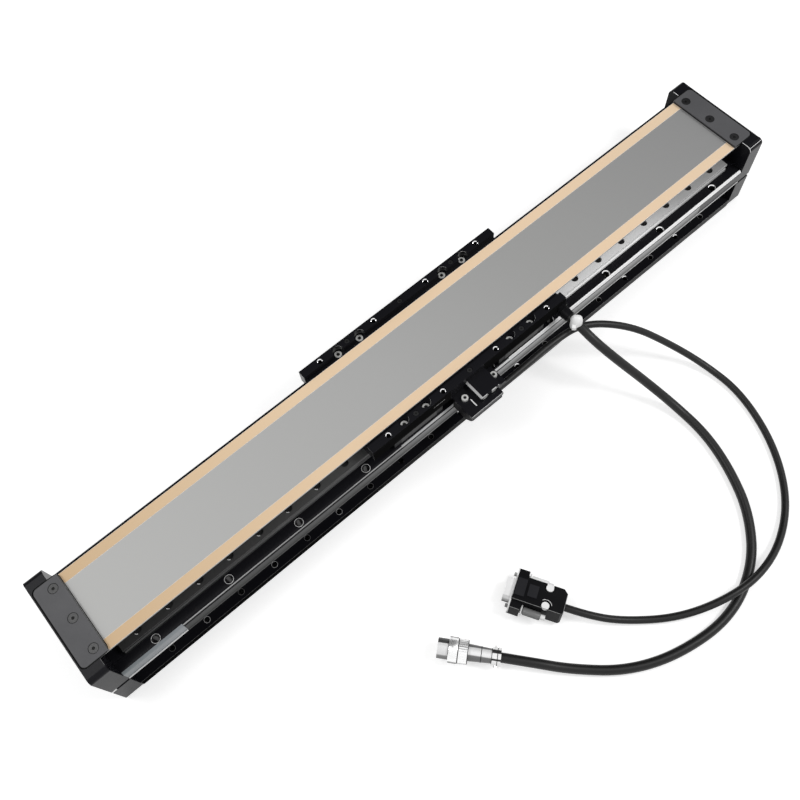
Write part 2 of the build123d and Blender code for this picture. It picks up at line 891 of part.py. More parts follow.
def make_hood():
    """The two halves of the square plug's hood, with an ear on each side."""
    outline = [
        (0, -6.5),
        (3.0, -9.5),
        (36.0, -9.5),
        (36.0, 9.5),
        (1.5, 9.5),
        (0, 8.0),
    ]
    for name, low, high in (("hood_lower", 0.2, 7.8), ("hood_upper", 7.8, 15.4)):
        ear_low = max(low, 2.2)
        with BuildPart() as half:
            with BuildSketch(on_hood(low)):
                with BuildLine():
                    Polyline(*outline, close=True)
                make_face()
            extrude(amount=high - low)
            with BuildSketch(on_hood(ear_low)):
                with Locations((32.3, 0)):
                    Rectangle(7.4, 30.4)
            extrude(amount=5.6)
            with BuildSketch(on_hood(low)):
                with Locations(*hood_holes):
                    Circle(1.7)
            extrude(amount=high - low, mode=Mode.SUBTRACT)
            with BuildSketch(hood_station(8)):
                Rectangle(15, 9.6)
            extrude(amount=28, mode=Mode.SUBTRACT)
            with BuildSketch(hood_station(28.6)):
                with Locations((-12.5, 0), (12.5, 0)):
                    Circle(1.8)
            extrude(amount=7.4, mode=Mode.SUBTRACT)
            if name == "hood_upper":
                with BuildSketch(on_hood(high - 2.2)):
                    with Locations(*hood_holes):
                        Circle(3.5)
                extrude(amount=2.2, mode=Mode.SUBTRACT)
                with BuildSketch(on_hood(high)):
                    with Locations((32.0, -0.6)):
                        Rectangle(7.2, 13.6)
                    with Locations((23.2, -0.2)):
                        Rectangle(7.0, 9.6)
                extrude(amount=0.4)
        save(half, name)


def make_hood_screws():
    """Two screws that close the hood."""
    with BuildPart() as screws:
        with BuildSketch(on_hood(13.2)):
            with Locations(*hood_holes):
                Circle(2.7)
        extrude(amount=2.0)
        with BuildSketch(on_hood(3.0)):
            with Locations(*hood_holes):
                Circle(1.5)
        extrude(amount=10.2)
    save(screws, "hood_screws")


def make_plug_shell():
    """Metal shell of the square plug, with its pin block inside."""
    with BuildPart() as shell:
        with BuildSketch(hood_station(36.0)):
            RectangleRounded(30.8, 12.4, 1.5)
            with Locations((-12.5, 0), (12.5, 0)):
                Circle(1.8, mode=Mode.SUBTRACT)
            Rectangle(14.2, 5.8, mode=Mode.SUBTRACT)
        extrude(amount=1.0)
        with BuildSketch(hood_station(37.0)):
            with BuildLine():
                Polyline((-7.1, 4.1), (7.1, 4.1), (8.4, -4.1), (-8.4, -4.1), close=True)
            make_face()
            with BuildLine():
                Polyline((-6.6, 3.5), (6.6, 3.5), (7.7, -3.5), (-7.7, -3.5), close=True)
            make_face(mode=Mode.SUBTRACT)
        extrude(amount=5.4)
    save(shell, "plug_shell")
    with BuildPart() as core:
        with BuildSketch(hood_station(30.0)):
            Rectangle(14.0, 5.6)
        extrude(amount=7.0)
    save(core, "plug_insulator")
    with BuildPart() as pins:
        with BuildSketch(hood_station(37.0)):
            with Locations(*[(x, -1.4) for x in row(5, 2.77)]):
                Circle(0.5)
            with Locations(*[(x, 1.4) for x in row(4, 2.77)]):
                Circle(0.5)
        extrude(amount=4.4)
    save(pins, "plug_pins")


def make_thumbscrews():
    """Two thumbscrews through the ears of the square plug."""
    with BuildPart() as screws:
        with BuildSketch(hood_station(14.0)):
            with Locations((-12.5, 0), (12.5, 0)):
                Circle(2.8)
        extrude(amount=12.2)
        with BuildSketch(hood_station(26.2)):
            with Locations((-12.5, 0), (12.5, 0)):
                Circle(2.1)
        extrude(amount=2.4)
        with BuildSketch(hood_station(28.6)):
            with Locations((-12.5, 0), (12.5, 0)):
                Circle(1.4)
        extrude(amount=10.4)
    save(screws, "plug_thumbscrews")


def plug_station(along):
    """Plane that faces along the round plug at a station."""
    return Plane(
        origin=round_plug.from_local_coords((along, 0, 0)),
        x_dir=round_plug.y_dir,
        z_dir=round_plug.x_dir,
    )


def make_round_plug():
    """Round metal plug: clamp, barrel, nut, ring, sleeve and its inside."""
    with BuildPart() as clamp:
        with BuildSketch(plug_station(0)):
            Circle(6.4)
            Rectangle(12.0, 12.4, mode=Mode.INTERSECT)
        extrude(amount=6.0)
    save(clamp, "plug_clamp")
    with BuildPart() as screws:
        for side in (-1, 1):
            with BuildSketch(Plane(
                origin=round_plug.from_local_coords((3.0, side * 6.0, 0)),
                x_dir=round_plug.x_dir,
                z_dir=round_plug.y_dir * side,
            )):
                Circle(1.6)
            extrude(amount=1.4)
    save(screws, "plug_clamp_screws")
    with BuildPart() as barrel:
        with BuildSketch(plug_station(6.0)):
            Circle(5.0)
        with BuildSketch(plug_station(22.6)):
            Circle(5.9)
        loft()
    save(barrel, "plug_barrel")
    with BuildPart() as nut:
        with BuildSketch(plug_station(22.6)):
            Circle(8.4)
        extrude(amount=6.7)
    save(nut, "plug_nut")
    with BuildPart() as ring:
        with BuildSketch(plug_station(29.3)):
            Circle(8.9)
            Circle(6.2, mode=Mode.SUBTRACT)
        extrude(amount=6.5)
    save(ring, "plug_ring")
    with BuildPart() as sleeve:
        with BuildSketch(plug_station(35.8)):
            Circle(7.0)
            Circle(6.0, mode=Mode.SUBTRACT)
        extrude(amount=7.6)
    save(sleeve, "plug_sleeve")
    with BuildPart() as core:
        with BuildSketch(plug_station(29.3)):
            Circle(5.7)
        extrude(amount=8.0)
    save(core, "plug_core")
    with BuildPart() as contacts:
        with BuildSketch(plug_station(37.3)):
            with PolarLocations(3.4, 4):
                Circle(0.7)
        extrude(amount=4.6)
    save(contacts, "plug_contacts")


make_base()
for side, end in ((-1, "near"), (1, "far")):
    make_end_block(side, f"end_block_{end}")
    make_pad(side, f"cover_pad_{end}")
make_block_screws()
make_bumpers()
make_cover()
make_pad_screws()
for side, face in ((-1, "front"), (1, "rear")):
    make_band(side, f"cover_band_{face}")
    make_rail(side, f"rail_{face}")
    make_yoke(side, f"yoke_{face}")
    make_magnets(side, f"magnets_{face}")
    make_bar(side, f"carriage_bar_{face}")
    for shift, end in ((-1, "near"), (1, "far")):
        x = carriage_x + shift * bearing_pitch / 2
        make_bearing(x, side, f"bearing_{face}_{end}")
    make_bearing_caps(side, f"bearing_caps_{face}")
make_rail_screws()
make_spacer()
make_yoke_screws()
make_spacer_screws()
make_tape()
make_carriage_plate()
make_bar_screws()
make_bearing_screws()
make_forcer()
make_read_head()
make_head_bracket()
make_head_screws()
make_bracket_screws()
make_gland()
make_tie()
make_cord(power_route, power_d, "power_cord")
make_cord(encoder_route, encoder_d, "encoder_cord")
make_hood()
make_hood_screws()
make_plug_shell()
make_thumbscrews()
make_round_plug()
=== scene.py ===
"""Looks of the linear motor module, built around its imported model.

The scene is in metres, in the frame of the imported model: +X along the travel, +Y away from the
cords, +Z up. Details are drawn in millimetres and scaled by mm.
"""

from math import cos, pi, radians, sin

import bmesh
import bpy
from mathutils import Matrix, Vector


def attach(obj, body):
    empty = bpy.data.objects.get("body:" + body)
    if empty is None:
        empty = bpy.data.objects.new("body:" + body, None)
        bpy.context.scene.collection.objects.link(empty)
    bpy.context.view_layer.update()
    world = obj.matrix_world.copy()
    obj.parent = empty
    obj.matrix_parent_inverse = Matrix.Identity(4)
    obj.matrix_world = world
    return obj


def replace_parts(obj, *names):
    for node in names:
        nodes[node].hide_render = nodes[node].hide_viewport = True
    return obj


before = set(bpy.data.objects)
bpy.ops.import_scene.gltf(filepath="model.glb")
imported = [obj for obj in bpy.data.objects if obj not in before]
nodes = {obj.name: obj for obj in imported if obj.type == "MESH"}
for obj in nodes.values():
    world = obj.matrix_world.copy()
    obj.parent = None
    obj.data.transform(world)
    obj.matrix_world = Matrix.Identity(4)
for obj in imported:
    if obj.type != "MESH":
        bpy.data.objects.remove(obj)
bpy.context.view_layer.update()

mm = 0.001
sides = (-1, 1)


def row(count, pitch, middle=0.0):
    """Evenly spaced places along X about a middle."""
    return [middle + (i - (count - 1) / 2) * pitch for i in range(count)]


# Camera, from the fit to the photograph's hole rows: place in metres, sensor in millimetres

camera_place = (-0.1881, -0.2415, 0.6338)
camera_right = (0.76082052, -0.64650817, -0.05638551)
camera_down = (-0.60606252, -0.67677347, -0.41793048)
camera_forward = (0.23203525, 0.35214323, -0.90672751)
focal_pixels = 889.04
photo_pixels = 800.0
sensor_width = 36.0

# Light and shading

world_strength = 0.45
floor_glow = 0.5
smooth_angle = 35.0
slow_scale = 30.0
fine_scale = 2200.0
fine_depth = 0.000003

# Base, in millimetres

base_half = 42.4
profile_end = 299.5
deck_z = 45.5
deck_round = 2.8
deck_corner = (deck_round - base_half, deck_z - deck_round, deck_round)
tape_end = -251.0
flange_z = 7.5
flange_xs = row(19, 30.0)
hole_y = 37.4
light_change = -60.0
rail_y = 27.0
rail_z = 53.5
rail_xs = row(23, 25.0)
lip_z = 50.9
band_end = 293.2

# End blocks and pads

block_z = 71.0
block_round = 4.0
block_flat = base_half - block_round
block_corner = (-block_flat, block_z - block_round, block_round)
block_in = 300.1
pocket_half = 33.3
pad_socket_z = 70.91
pad_ring_z = 70.95
pad_screws = [(side * 300.0, y) for side in sides for y in (-25.0, 0.0, 25.0)]

# Carriage, where the photograph shows it

carriage_x = 7.5
carriage_half = 41.7
bar_z = 72.0
bar_hole_y = 38.2
bar_pitch = 50.0
bar_edge_z = 71.9
bar_socket_z = 71.42
bearing_socket_z = 65.52
bearing_screw_xs = [x + dx for x in row(2, 100.0, carriage_x) for dx in row(2, 20.0)]
head_screw_xs = (-6.4, 21.1)
head_screw_y = -48.8
head_socket_z = 62.42

# Cords and plugs

power_d = 7.0
encoder_d = 5.4

power_route = [
    (95.4, -46.7, 60.0),
    (95.4, -60.5, 60.0),
    (96.8, -76.0, 55.0),
    (104.5, -94.5, 41.5),
    (116.0, -115.5, 23.0),
    (126.0, -141.5, 6.0),
    (126.5, -172.0, 3.8),
    (118.0, -203.0, 3.8),
    (103.0, -233.5, 3.8),
    (76.0, -260.5, 3.8),
    (37.0, -274.5, 3.8),
    (-8.0, -268.5, 3.8),
    (-43.0, -253.0, 3.8),
    (-71.0, -227.5, 4.6),
    (-88.317, -207.516, 9.2),
    (-101.9, -191.5, 9.2),
]
encoder_route = [
    (17.5, -56.0, 52.5),
    (43.0, -56.0, 52.5),
    (75.0, -55.2, 53.0),
    (103.0, -58.4, 52.4),
    (132.0, -81.0, 43.0),
    (154.0, -105.0, 21.0),
    (169.5, -132.0, 4.8),
    (172.5, -166.0, 3.0),
    (159.0, -208.0, 3.0),
    (135.0, -242.0, 3.0),
    (104.0, -262.0, 4.6),
    (70.0, -268.4, 11.0),
    (38.0, -263.4, 10.2),
    (8.0, -250.4, 3.6),
    (-19.5, -229.0, 3.2),
    (-36.7, -211.508, 9.9),
    (-46.0, -195.4, 9.9),
]

round_at = power_route[-1]
round_angle = 130.3
square_at = encoder_route[-1]
square_angle = 120.0
square_roll = 13.5
hood_half = 7.8
hood_top = 15.8
hood_pad_top = 15.83
thumb_y = 12.5
tie_at = (95.2, -57.4, 60.6)


# Camera, light and floor

def make_camera():
    """Camera at the photograph's viewing angle."""
    data = bpy.data.cameras.new("camera")
    data.sensor_fit = "HORIZONTAL"
    data.sensor_width = sensor_width
    data.lens = focal_pixels * sensor_width / photo_pixels
    data.clip_start = 0.01
    data.clip_end = 50.0
    camera = bpy.data.objects.new("camera", data)
    turn = Matrix((Vector(camera_right), -Vector(camera_down), -Vector(camera_forward))).transposed()
    camera.matrix_world = Matrix.Translation(camera_place) @ turn.to_4x4()
    bpy.context.scene.collection.objects.link(camera)
    bpy.context.scene.camera = camera


def make_lamp(name, place, target, size, watts):
    """A soft square lamp that faces a point."""
    data = bpy.data.lights.new(name, "AREA")
    data.shape = "RECTANGLE"
    data.size = size
    data.size_y = size
    data.energy = watts
    lamp = bpy.data.objects.new(name, data)
    lamp.location = place
    aim = Vector(target) - Vector(place)
    lamp.rotation_euler = aim.to_track_quat("-Z", "Y").to_euler()
    bpy.context.scene.collection.objects.link(lamp)


def seen_directly(tree):
    """One for camera, glossy and transmission rays, and zero for the rest."""
    path = tree.nodes.new("ShaderNodeLightPath")
    first = tree.nodes.new("ShaderNodeMath")
    first.operation = "MAXIMUM"
    tree.links.new(path.outputs["Is Camera Ray"], first.inputs[0])
    tree.links.new(path.outputs["Is Glossy Ray"], first.inputs[1])
    second = tree.nodes.new("ShaderNodeMath")
    second.operation = "MAXIMUM"
    tree.links.new(first.outputs[0], second.inputs[0])
    tree.links.new(path.outputs["Is Transmission Ray"], second.inputs[1])
    return second.outputs[0]


def make_world():
    """White where it is seen, and a plain soft light elsewhere."""
    world = bpy.data.worlds.new("world")
    bpy.context.scene.world = world
    world.use_nodes = True
    tree = world.node_tree
    background = tree.nodes["Background"]
    background.inputs["Color"].default_value = (1.0, 1.0, 1.0, 1.0)
    strength = tree.nodes.new("ShaderNodeMapRange")
    strength.inputs["To Min"].default_value = world_strength
    strength.inputs["To Max"].default_value = 1.0
    tree.links.new(seen_directly(tree), strength.inputs["Value"])
    tree.links.new(strength.outputs["Result"], background.inputs["Strength"])


def floor_white():
    """Matte white that glows where it is seen directly."""
    material = plain_material("floor_white", grey(0.82), 0.9, 0.0, 0.1)
    tree = material.node_tree
    shader = shader_of(material)
    glow = tree.nodes.new("ShaderNodeMath")
    glow.operation = "MULTIPLY"
    glow.inputs[1].default_value = floor_glow
    tree.links.new(seen_directly(tree), glow.inputs[0])
    shader.inputs["Emission Color"].default_value = (1.0, 1.0, 1.0, 1.0)
    tree.links.new(glow.outputs[0], shader.inputs["Emission Strength"])
    return material


def make_floor():
    """Pale floor, a disc under the whole object."""
    shape = bmesh.new()
    bmesh.ops.create_circle(shape, cap_ends=True, segments=64, radius=4.0)
    floor = object_of("floor", shape, floor_white())
    floor.location = (0.0, 0.0, -0.0002)


def make_card():
    """Dark card above the lamps, seen only in reflections."""
    shape = bmesh.new()
    bmesh.ops.create_grid(shape, x_segments=1, y_segments=1, size=1.0)
    card = object_of("card", shape, plain_material("card_dark", grey(0.02), 1.0, 0.0, 0.0))
    card.location = (0.5, 3.2, 1.35)
    card.scale = (5.0, 3.0, 1.0)
    card.visible_camera = False
    card.visible_diffuse = False
    card.visible_transmission = False
    card.visible_shadow = False


# Parts of materials

def grey(level):
    """A colour with three equal parts."""
    return (level, level, level)


def shader_of(material):
    """The main shader of a material."""
    return material.node_tree.nodes["Principled BSDF"]


def plain_material(name, color, rough, metal, gloss):
    """A material with its plain numbers set on the shader itself."""
    material = bpy.data.materials.new(name)
    material.use_nodes = True
    shader = shader_of(material)
    shader.inputs["Base Color"].default_value = (*color, 1.0)
    shader.inputs["Roughness"].default_value = rough
    shader.inputs["Metallic"].default_value = metal
    shader.inputs["Specular IOR Level"].default_value = gloss
    return material


def noise_of(tree, scale, detail, stretch=(1.0, 1.0, 1.0)):
    """Noise in the object's own frame, stretched along its axes."""
    place = tree.nodes.new("ShaderNodeTexCoord")
    mapping = tree.nodes.new("ShaderNodeMapping")
    mapping.inputs["Scale"].default_value = stretch
    noise = tree.nodes.new("ShaderNodeTexNoise")
    noise.inputs["Scale"].default_value = scale
    noise.inputs["Detail"].default_value = detail
    tree.links.new(place.outputs["Object"], mapping.inputs["Vector"])
    tree.links.new(mapping.outputs["Vector"], noise.inputs["Vector"])
    return noise.outputs["Fac"]


def ranged(tree, value, low, high):
    """The middle part of a noise value spread from low to high."""
    spread = tree.nodes.new("ShaderNodeMapRange")
    spread.inputs["From Min"].default_value = 0.3
    spread.inputs["From Max"].default_value = 0.7
    spread.inputs["To Min"].default_value = low
    spread.inputs["To Max"].default_value = high
    tree.links.new(value, spread.inputs["Value"])
    return spread.outputs["Result"]


def mixed(tree, factor, first, second):
    """Two colours mixed by a factor."""
    mix = tree.nodes.new("ShaderNodeMix")
    mix.data_type = "RGBA"
    mix.inputs["A"].default_value = (*first, 1.0)
    mix.inputs["B"].default_value = (*second, 1.0)
    tree.links.new(factor, mix.inputs["Factor"])
    return mix.outputs["Result"]


def bumped(tree, height, depth):
    """A fine bump of a given depth in metres."""
    bump = tree.nodes.new("ShaderNodeBump")
    bump.inputs["Distance"].default_value = depth
    bump.inputs["Strength"].default_value = 1.0
    tree.links.new(height, bump.inputs["Height"])
    tree.links.new(bump.outputs["Normal"], tree.nodes["Principled BSDF"].inputs["Normal"])


def along_axis(tree, stops, axis):
    """A grey or colour that changes along a direction, between stops of place and level."""
    place = tree.nodes.new("ShaderNodeTexCoord")
    reach = tree.nodes.new("ShaderNodeVectorMath")
    reach.operation = "DOT_PRODUCT"
    reach.inputs[1].default_value = axis
    spread = tree.nodes.new("ShaderNodeMapRange")
    ramp = tree.nodes.new("ShaderNodeValToRGB")
    low, high = stops[0][0], stops[-1][0]
    spread.inputs["From Min"].default_value = low
    spread.inputs["From Max"].default_value = high
    tree.links.new(place.outputs["Object"], reach.inputs[0])
    tree.links.new(reach.outputs["Value"], spread.inputs["Value"])
    tree.links.new(spread.outputs["Result"], ramp.inputs["Fac"])
    points = ramp.color_ramp.elements
    points.remove(points[1])
    for index, (x, level) in enumerate(stops):
        point = points.new((x - low) / (high - low)) if index else points[0]
        point.color = (*level, 1.0) if isinstance(level, tuple) else (*grey(level), 1.0)
    return ramp.outputs["Color"]


def faded(tree, color, low, high, least):
    """The colour, darkened more and more from a high place down to a low one."""
    place = tree.nodes.new("ShaderNodeTexCoord")
    split = tree.nodes.new("ShaderNodeSeparateXYZ")
    spread = tree.nodes.new("ShaderNodeMapRange")
    mix = tree.nodes.new("ShaderNodeMix")
    mix.data_type = "RGBA"
    mix.inputs["A"].default_value = (0.0, 0.0, 0.0, 1.0)
    spread.inputs["From Min"].default_value = low
    spread.inputs["From Max"].default_value = high
    spread.inputs["To Min"].default_value = least
    tree.links.new(place.outputs["Object"], split.inputs["Vector"])
    tree.links.new(split.outputs["Z"], spread.inputs["Value"])
    tree.links.new(spread.outputs["Result"], mix.inputs["Factor"])
    tree.links.new(color, mix.inputs["B"])
    return mix.outputs["Result"]


# Kinds of material

def finish(name, low, high, rough, grain, depth, metal=0.0, gloss=0.5, stretch=(1.0, 1.0, 1.0)):
    """A finish with slow colour changes, fine grain and a range of roughness."""
    material = plain_material(name, low, rough[0], metal, gloss)
    tree = material.node_tree
    shader = shader_of(material)
    slow = noise_of(tree, slow_scale, 4.0, stretch)
    fine = noise_of(tree, grain, 2.0, stretch)
    factor = ranged(tree, slow, 0.0, 1.0)
    tree.links.new(mixed(tree, factor, low, high), shader.inputs["Base Color"])
    tree.links.new(ranged(tree, fine, *rough), shader.inputs["Roughness"])
    bumped(tree, fine, depth)
    return material


def graded(name, stops, rough, metal=0.0, gloss=0.5, fade=None, axis=(1, 0, 0)):
    """A finish whose colour changes along an axis, with a fine grain."""
    material = plain_material(name, grey(0.3), rough[0], metal, gloss)
    tree = material.node_tree
    shader = shader_of(material)
    fine = noise_of(tree, fine_scale, 2.0)
    color = along_axis(tree, stops, axis)
    if fade:
        color = faded(tree, color, *fade)
    tree.links.new(color, shader.inputs["Base Color"])
    tree.links.new(ranged(tree, fine, *rough), shader.inputs["Roughness"])
    bumped(tree, fine, fine_depth)
    return material


def banded(name, stops, metal=0.1):
    """A bright metal with painted bands of light and shade along the round plug, from its far side to its
    near side.
    """
    axis = Vector((cos(radians(round_angle)), sin(radians(round_angle)), 0))
    middle = Vector([place * mm for place in round_at]) + axis * 0.02
    # the bands are laid across the line of sight from the camera
    across = axis.cross(middle - Vector(camera_place)).normalized()
    if across.y > 0:
        across = -across
    start = middle.dot(across)
    places = [(start + x * mm, level) for x, level in stops]
    return graded(name, places, (0.25, 0.35), metal, 0.3, axis=across)


def ground_steel():
    """Rail steel ground along X, so that its highlights spread across the rail; its colour along X is a
    painted reflection.
    """
    material = plain_material("rail_steel", grey(0.4), 0.55, 0.08, 0.5)
    tree = material.node_tree
    shader = shader_of(material)
    # painted reflection: near black at the near end, white over the middle, greyer at the far end
    stops = [(-0.3, 0.015), (-0.22, 0.035), (-0.1, 0.08), (-0.02, 0.3), (0.07, 1.0), (0.19, 1.0),
             (0.235, 0.6), (0.3, 0.35)]
    tree.links.new(along_axis(tree, stops, (1, 0, 0)), shader.inputs["Base Color"])
    tree.links.new(ranged(tree, noise_of(tree, 40.0, 3.0), 0.5, 0.6), shader.inputs["Roughness"])
    shader.inputs["Anisotropic"].default_value = 1.0
    shader.inputs["Anisotropic Rotation"].default_value = 0.25
    tangent = tree.nodes.new("ShaderNodeTangent")
    tangent.direction_type = "RADIAL"
    tangent.axis = "Y"
    tree.links.new(tangent.outputs["Tangent"], shader.inputs["Tangent"])
    return material


# Materials

def black_shades():
    """Black metal, plastic and rubber, and the painted shade of sockets, gaps and joints."""
    return [
        finish("anodised_black", (0.007, 0.007, 0.009), (0.012, 0.012, 0.014), (0.2, 0.24),
               grain=1400.0, depth=0.0000004, gloss=0.08, stretch=(0.06, 1.0, 1.0)),
        finish("bearing_dark", grey(0.01), grey(0.016), (0.35, 0.45),
               grain=1400.0, depth=0.000004, gloss=0.15),
        finish("screw_black", (0.012, 0.012, 0.013), (0.02, 0.02, 0.021), (0.3, 0.42),
               grain=2500.0, depth=0.00001),
        finish("coil_epoxy", (0.012, 0.012, 0.013), grey(0.02), (0.3, 0.42), grain=500.0, depth=0.00003),
        finish("plastic_black", (0.006, 0.006, 0.007), (0.01, 0.01, 0.011), (0.35, 0.45),
               grain=1800.0, depth=0.000003, gloss=0.06),
        finish("rubber_black", grey(0.008), grey(0.013), (0.36, 0.44),
               grain=1200.0, depth=0.000003, gloss=0.3),
        finish("hood_pad", (0.02, 0.02, 0.023), (0.026, 0.026, 0.029), (0.4, 0.5),
               grain=1500.0, depth=0.000002, gloss=0.1),
        finish("matte_black", grey(0.006), grey(0.01), (0.7, 0.8), grain=1400.0, depth=0.000001, gloss=0.0),
        finish("recess_shade", grey(0.004), grey(0.008), (0.5, 0.6),
               grain=2500.0, depth=0.000002, gloss=0.2),
    ]


def metal_shades():
    """Bare metals of the rails, screws, motor, tape and pins, and of freshly cut rims."""
    return [
        ground_steel(),
        finish("screw_steel", (0.78, 0.78, 0.76), (0.88, 0.88, 0.86), (0.2, 0.34),
               grain=2500.0, depth=0.000003, metal=0.4),
        finish("yoke_steel", (0.40, 0.40, 0.41), (0.48, 0.48, 0.49), (0.3, 0.42),
               grain=1200.0, depth=0.00001, metal=1.0),
        finish("magnet_nickel", (0.6, 0.58, 0.54), (0.68, 0.66, 0.62), (0.18, 0.28),
               grain=1600.0, depth=0.000006, metal=1.0),
        # painted light along X, and painted shade darker towards the bottom
        graded("tape_steel", [(-0.3, 0.01), (-0.1, 0.09), (0.05, 0.5), (0.3, 0.42)], (0.3, 0.42),
               gloss=0.08, fade=(0.033, 0.0425, 0.12)),
        finish("pin_brass", (0.75, 0.55, 0.24), (0.85, 0.64, 0.3), (0.18, 0.28),
               grain=1500.0, depth=0.00001, metal=1.0),
        finish("bare_cut", (0.85, 0.85, 0.86), grey(0.95), (0.1, 0.16),
               grain=2500.0, depth=0.000002, metal=1.0),
    ]


def cover_shades():
    """Grey cover, cream bands and dark grey pads, and the white tie; the cover and bands change colour
    along X as painted light and shade.
    """
    # painted light: the cover darker towards the far end, the bands darker towards the near end
    cover = [(-0.3, (0.50, 0.50, 0.49)), (-0.05, (0.43, 0.43, 0.425)), (0.1, (0.36, 0.36, 0.355)),
             (0.3, (0.29, 0.29, 0.29))]
    band = [(-0.3, (0.66, 0.47, 0.28)), (-0.1, (0.84, 0.63, 0.42)), (0.1, (0.88, 0.66, 0.45)),
            (0.3, (0.86, 0.66, 0.46))]
    return [
        graded("cover_grey", cover, (0.45, 0.55), gloss=0.3),
        graded("band_cream", band, (0.55, 0.7), gloss=0.3),
        finish("pad_grey", (0.085, 0.085, 0.09), (0.105, 0.105, 0.11), (0.5, 0.65),
               grain=1500.0, depth=0.000004, gloss=0.3),
        finish("tie_white", grey(0.92), grey(0.97), (0.35, 0.45), grain=900.0, depth=0.00001),
    ]


def plug_shades():
    """Bright metals of both plugs: painted bands of light and shade on the round one, a painted reflection
    on the thumbscrews and painted shade low on the shell.
    """
    nickel = [(-9.0, 0.2), (-8.4, 0.3), (-8.1, 1.0), (2.0, 1.0), (7.6, 0.95), (8.2, 0.4), (9.0, 0.1)]
    barrel = [(-6.0, 0.08), (-4.0, 0.14), (-3.6, 0.8), (0.0, 1.0), (1.2, 0.95), (1.8, 0.2),
              (5.0, 0.14), (6.0, 0.06)]
    sleeve = [(-7.0, 0.03), (-6.0, 0.06), (-3.8, 0.08), (-3.4, 0.9), (4.0, 0.85), (4.8, 0.3),
              (6.3, 0.16), (7.0, 0.03)]
    clamp = [(-6.5, 0.3), (-6.2, 1.0), (-4.7, 1.0), (-4.5, 0.03), (-2.3, 0.05), (-2.0, 1.0),
             (1.4, 1.0), (1.6, 0.03), (2.7, 0.03), (2.9, 1.0), (6.0, 1.0), (6.5, 0.1)]
    # painted reflection on the thumbscrews: grey towards -X, white towards +X
    thumb = [(-0.07, 0.2), (-0.057, 0.18), (-0.052, 0.95)]
    return [
        banded("plug_nickel", nickel, 0.75),
        banded("barrel_painted_bands", barrel),
        banded("sleeve_painted_bands", sleeve),
        banded("clamp_painted_bands", clamp),
        graded("thumb_painted_reflection", thumb, (0.3, 0.4), gloss=0.3),
        # painted shade: the white shell darker towards the bottom
        graded("shell_painted_shade", [(-0.08, 0.92), (-0.055, 0.98)], (0.25, 0.35),
               fade=(0.0085, 0.0125, 0.08)),
    ]


def edge_shades():
    """Painted highlights of edges and painted light and shade of the flange's face, with the pale strip's
    grey; their levels change along X.
    """
    rising = [(-0.3, 0.5), (-0.12, 0.3), (0.0, 0.7), (0.06, 0.95), (0.3, 0.98)]
    foot = [(-0.3, 0.06), (-0.1, 0.1), (0.05, 0.5), (0.3, 0.7)]
    strip = [(-0.3, (0.17, 0.19, 0.2)), (-0.25, (0.26, 0.28, 0.3))]
    # painted shade near the near end and painted light further along X, on the flange's front face
    flange = [(-0.3, 0.006), (-0.1, 0.008), (0.05, 0.09), (0.3, 0.12)]
    return [
        graded("edge_white", [(-0.3, 0.8), (0.3, 0.95)], (0.3, 0.4)),
        graded("edge_rising", rising, (0.3, 0.4)),
        graded("foot_highlight_rising", foot, (0.3, 0.4)),
        graded("edge_dim", [(-0.3, 0.08), (0.0, 0.12), (0.3, 0.35)], (0.3, 0.4)),
        graded("edge_grey", [(-0.3, 0.2), (0.3, 0.4)], (0.3, 0.4)),
        graded("edge_soft", [(-0.3, 0.45), (0.3, 0.6)], (0.3, 0.4)),
        graded("strip_grey", strip, (0.3, 0.4)),
        graded("flange_painted_light", flange, (0.6, 0.7), gloss=0.0),
    ]


def shades_by_name():
    """Every material of the part under its own name, without a number that was added to it."""
    made = black_shades() + metal_shades() + cover_shades() + plug_shades() + edge_shades()
    return {shade.name.split(".")[0]: shade for shade in made}


shades = shades_by_name()


# Ways to make objects

def object_of(name, shape, material):
    """Turn a bmesh into an object of one material."""
    mesh = bpy.data.meshes.new(name)
    shape.to_mesh(mesh)
    shape.free()
    mesh.materials.append(material)
    thing = bpy.data.objects.new(name, mesh)
    bpy.context.scene.collection.objects.link(thing)
    return thing


def piece_of(name, shape, body, shade):
    """Turn a bmesh into a piece that rides on a body."""
    bmesh.ops.remove_doubles(shape, verts=shape.verts, dist=1e-7)
    bmesh.ops.recalc_face_normals(shape, faces=shape.faces)
    piece = object_of(name, shape, shades[shade])
    for face in piece.data.polygons:
        face.use_smooth = True
    piece.data.set_sharp_from_angle(angle=radians(smooth_angle))
    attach(piece, body)
    return piece


def curve_of(name, kind, routes, radius, rounding):
    """Round lines along routes of points in millimetres."""
    curve = bpy.data.curves.new(name, "CURVE")
    curve.dimensions = "3D"
    curve.bevel_depth = radius * mm
    curve.bevel_resolution = rounding
    for route in routes:
        spline = curve.splines.new(kind)
        spline.points.add(len(route) - 1)
        for point, place in zip(spline.points, route):
            point.co = (place[0] * mm, place[1] * mm, place[2] * mm, 1.0)
    line = bpy.data.objects.new(name, curve)
    bpy.context.scene.collection.objects.link(line)
    return line


def make_cord(name, route, diameter):
    """A cord's smooth line, with the route's points as its control points."""
    cord = curve_of(name, "NURBS", [route], diameter / 2, 8)
    cord.data.resolution_u = 24
    cord.data.materials.append(shades["rubber_black"])
    spline = cord.data.splines[0]
    spline.order_u = 3
    spline.use_endpoint_u = True
    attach(cord, "carriage")
    return cord


def wire(name, routes, radius, body, shade):
    """Thin lines along edges, one for each route, in millimetres."""
    line = curve_of(name, "POLY", routes, radius, 1)
    line.data.use_fill_caps = True
    line.data.materials.append(shades[shade])
    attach(line, body)


